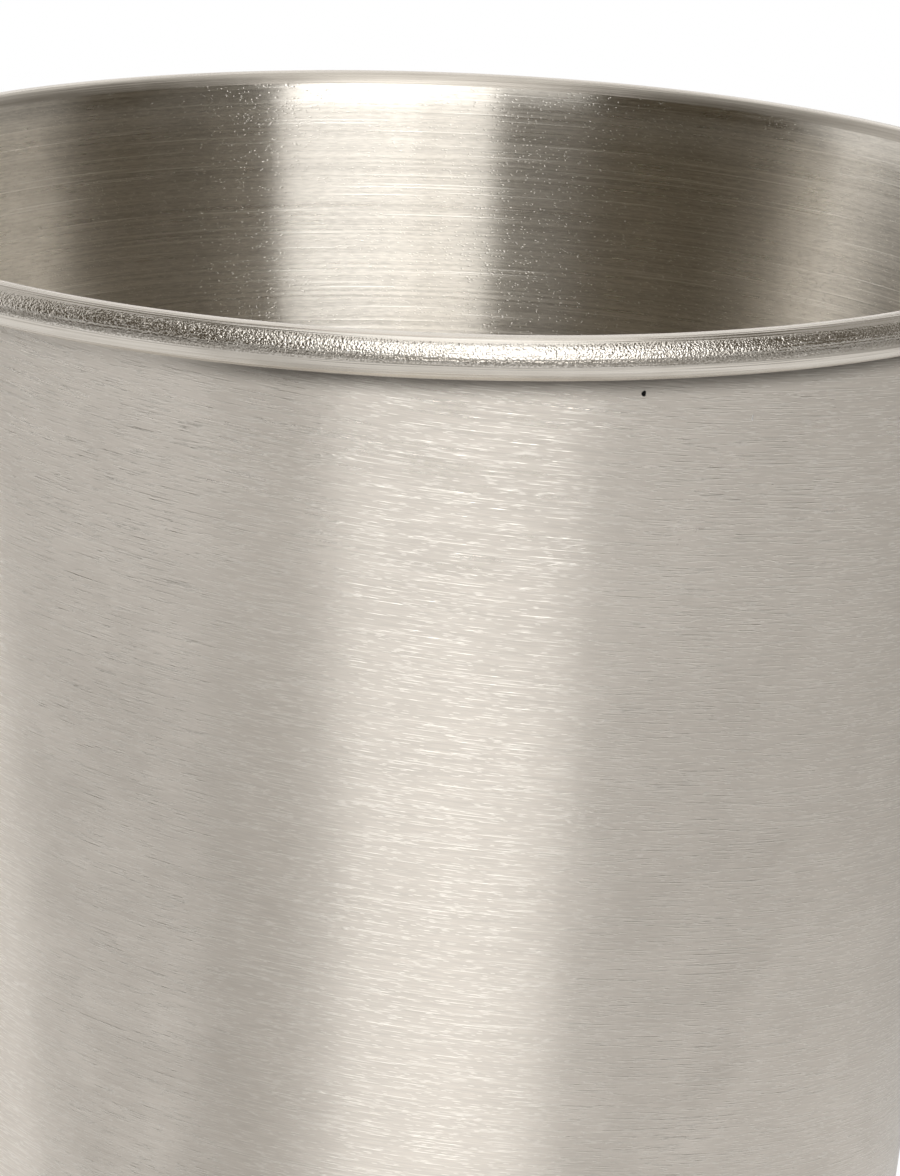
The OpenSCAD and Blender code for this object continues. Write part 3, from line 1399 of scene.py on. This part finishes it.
@dataclass(frozen=True)
class PhotoCamera:
    """A long lens a little over the rim, turned, tipped and rolled as the picture is.

    Rim is the rolled rim's middle, and the distance is counted in its radius.
    """

    rim: Point
    distance: float = 9.43
    above_deg: float = 11.85
    yaw_deg: float = -0.18
    pitch_deg: float = -3.60
    roll_deg: float = -2.17
    focal_px: float = 6000.0
    frame_px: tuple[int, int] = (900, 1176)
    sensor_mm: float = 36.0
    clip: Point = (0.01, 50.0)

    def build(self) -> None:
        """Makes the camera and gives it to the scene."""
        data = bpy.data.cameras.new("photo_camera")
        data.sensor_width = self.sensor_mm
        data.lens = self.focal_px / max(self.frame_px) * self.sensor_mm
        data.clip_start, data.clip_end = self.clip
        away, above = self.distance * self.rim[0], math.radians(self.above_deg)
        height = self.rim[1] + away * math.sin(above)
        made = stand(data, away * math.cos(above), height, self.above_deg)
        for angle, axis in ((self.yaw_deg, "Y"), (self.pitch_deg, "X"), (-self.roll_deg, "Z")):
            made.matrix_world = made.matrix_world @ Matrix.Rotation(math.radians(angle), 4, axis)
        bpy.context.scene.camera = made


@dataclass(frozen=True)
class SoftBox:
    """A rectangular lamp on a stand. It is turned to the cup's axis and leans over the cup."""

    name: str
    azimuth_deg: float
    away: float
    height: float
    lean_deg: float
    size: Point
    radiance: float

    def build(self) -> None:
        """Makes the lamp."""
        data = bpy.data.lights.new(self.name, "AREA")
        data.shape = "RECTANGLE"
        data.size, data.size_y = self.size
        data.energy = self.radiance * math.pi * self.size[0] * self.size[1]
        lamp = stand(data, self.away, self.height, self.lean_deg, self.azimuth_deg)
        lamp.visible_camera = False


@dataclass(frozen=True)
class Studio:
    """The pale floor, the white background and the lamps.

    The camera sees the floor as white, and dimmer round the foot, where it keeps the shadow: over
    the radii of floor_near its white rises by floor_white. The steel sees the same, but only in a
    round pool, whose edge fades over floor_far. The notch is a dimmer wedge of the pool: its turn,
    and half its width where it is at notch_share and where it ends.
    """

    floor_colour: Colour = (0.70, 0.70, 0.70)
    floor_roughness: float = 0.9
    floor_shine: float = 0.1
    floor_half: float = 3.0
    floor_drop: float = 0.2 * MM
    floor_white: Point = (0.45, 1.0)
    floor_near: Point = (0.036, 0.07)
    floor_far: Point = (0.15, 0.218)
    pool: Point = (-0.038, -0.02)
    notch: tuple[float, float, float] = (-0.58, 0.10, 0.24)
    notch_share: float = 0.45
    room: Colour = (0.056, 0.043, 0.024)
    sweep_top: Point = (0.03, 0.09)
    boxes: tuple[SoftBox, ...] = (
        SoftBox("key_box", 20.05, 0.882, 0.912, 6.7, (0.509, 1.294), 2.85),
        SoftBox("key_left_box", -3.0, 0.910, 0.912, 6.7, (0.226, 1.294), 2.35),
        SoftBox("left_fill", -25.0, 0.85, 1.30, 48.0, (0.34, 0.55), 1.9),
        SoftBox("right_fill", 52.0, 0.95, 0.80, 0.0, (0.45, 1.0), 0.10),
        SoftBox("top_panel", 90.0, 0.08, 1.5, 90.0, (1.5, 0.62), 1.25),
        SoftBox("left_panel", -98.0, 0.9, 0.565, 0.0, (0.45, 0.97), 0.85),
        SoftBox("right_panel", 98.0, 0.9, 0.50, 0.0, (0.45, 0.49), 0.25),
        SoftBox("back_panel", 180.0, 1.1, 1.06, 0.0, (0.59, 1.79), 1.1),
        SoftBox("back_left_panel", -138.5, 1.1, 1.12, 0.0, (1.10, 1.65), 0.55),
        SoftBox("back_right_panel", 138.5, 1.1, 1.12, 0.0, (1.10, 1.65), 0.35),
    )

    def build(self) -> None:
        """Makes the floor, the room and the lamps."""
        self._floor()
        self._room()
        for box in self.boxes:
            box.build()

    def _floor(self) -> None:
        """A wide flat floor just under the foot ring, which keeps the cup's shadow."""
        half = self.floor_half
        corners = [(-half, -half, 0.0), (half, -half, 0.0), (half, half, 0.0), (-half, half, 0.0)]
        mesh = bpy.data.meshes.new("floor")
        mesh.from_pydata(corners, [], [(0, 1, 2, 3)])
        floor = bpy.data.objects.new("floor", mesh)
        floor.location.z = -self.floor_drop
        bpy.context.scene.collection.objects.link(floor)
        board = Paint("floor_paint")
        paint = {"Base Color": self.floor_colour, "Roughness": self.floor_roughness}
        board.fill(board.shader, paint | {"Specular IOR Level": self.floor_shine})
        white = board.add("Emission").outputs[0]
        places = TurnedPlaces(board)
        camera, seen = board.seen()
        near = board.spread(places.radius, self.floor_near, self.floor_white)
        share = board.product(near, board.maths("MAXIMUM", camera, self._pool(places)))
        board.show(board.product(seen, share), board.shader.outputs[0], white)
        board.material.cycles.emission_sampling = "NONE"
        floor.data.materials.append(board.material)

    def _pool(self, places: TurnedPlaces) -> Socket:
        """Lays out the white pool that the steel sees, less its notch.

        Args:
            places: Places on the floor.

        Returns:
            A socket with how white the floor is, from 0 to 1.
        """
        board = places.board
        ends = {0: places.whole, 1: (*self.pool, 0.0)}
        away = board.add("VectorMath", ends, operation="DISTANCE").outputs["Value"]
        pool = board.spread(away, self.floor_far, (1.0, 0.0))
        middle, full, clear = self.notch
        aside = board.maths("ABSOLUTE", board.maths("SUBTRACT", places.turn, middle))
        notch = board.spread(aside, (full, clear), (self.notch_share, 1.0))
        return board.product(pool, notch)

    def _room(self) -> None:
        """A dim room round a white sweep, which the camera and the metal both see."""
        world = bpy.data.worlds.new("room")
        world.use_nodes = True
        board = Board(world.node_tree, "OutputWorld")
        dim = board.add("Background", {"Color": self.room}).outputs[0]
        white = board.add("Background", {"Color": (1.0, 1.0, 1.0)}).outputs[0]
        rise = board.split(board.add("TexCoord").outputs["Generated"])[2]
        low = board.spread(rise, self.sweep_top, (1.0, 0.0))
        camera, seen = board.seen()
        board.show(board.maths("MAXIMUM", camera, board.product(seen, low)), dim, white)
        world.cycles.sampling_method = "NONE"
        bpy.context.scene.world = world


def main() -> None:
    """Builds the camera, the studio and the cup's pieces."""
    logging.basicConfig(level=logging.INFO, format="%(message)s")
    bpy.context.scene.view_settings.view_transform = "Standard"
    sizes = CupSizes.from_frame()
    PhotoCamera(sizes.roll).build()
    Studio().build()
    CupBody(sizes).build()
    CupFloor(sizes).build()
    CupFoot(sizes).build()


if __name__ == "__main__":
    main()
